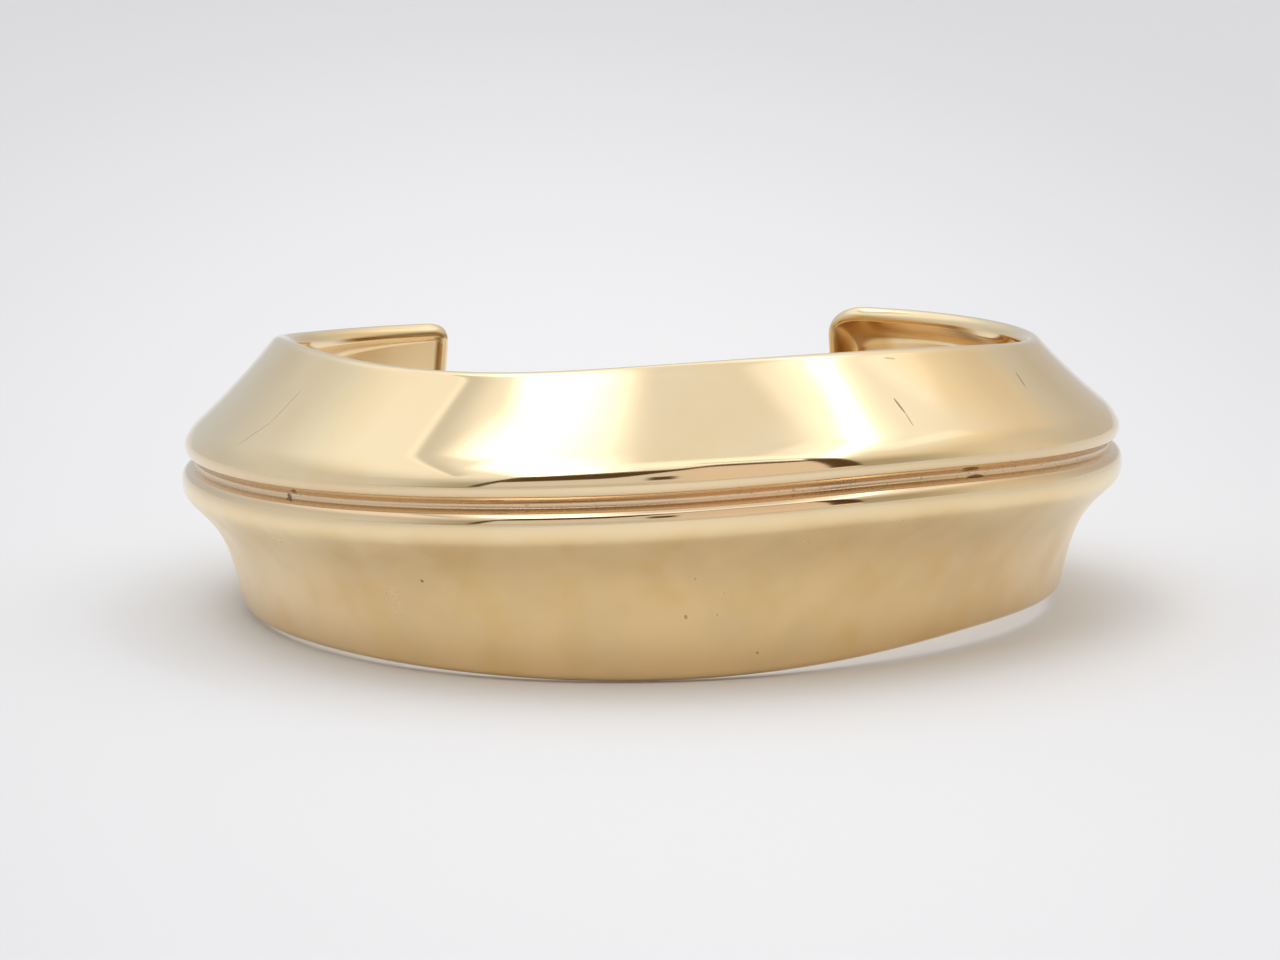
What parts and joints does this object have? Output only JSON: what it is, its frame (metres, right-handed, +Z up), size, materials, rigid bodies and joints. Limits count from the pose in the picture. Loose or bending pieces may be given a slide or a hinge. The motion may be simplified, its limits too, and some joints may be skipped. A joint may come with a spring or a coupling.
{
  "type": "wide cuff bracelet",
  "caption": "Wide open cuff bracelet in polished pale gold metal, hollow-backed, with two concave flanks that rise to a grooved double ridge round its middle.",
  "frame": {"origin": "middle of the bounding box's underside, on the floor that the cuff rests on", "axes": "+X to the right along the cuff's width, +Y from the front towards the open back, +Z up along the wrist"},
  "size_m": [0.0738, 0.0654, 0.0241],
  "materials": {
    "gold_plate": "pale yellow gold plate over cast brass, mirror polished above the ridge and softly satin below it, with fine scratches, small casting pits and darker dirt in the groove"
  },
  "bodies": {
    "root": {"cuff_band": "gold_plate"}
  },
  "joints": []
}
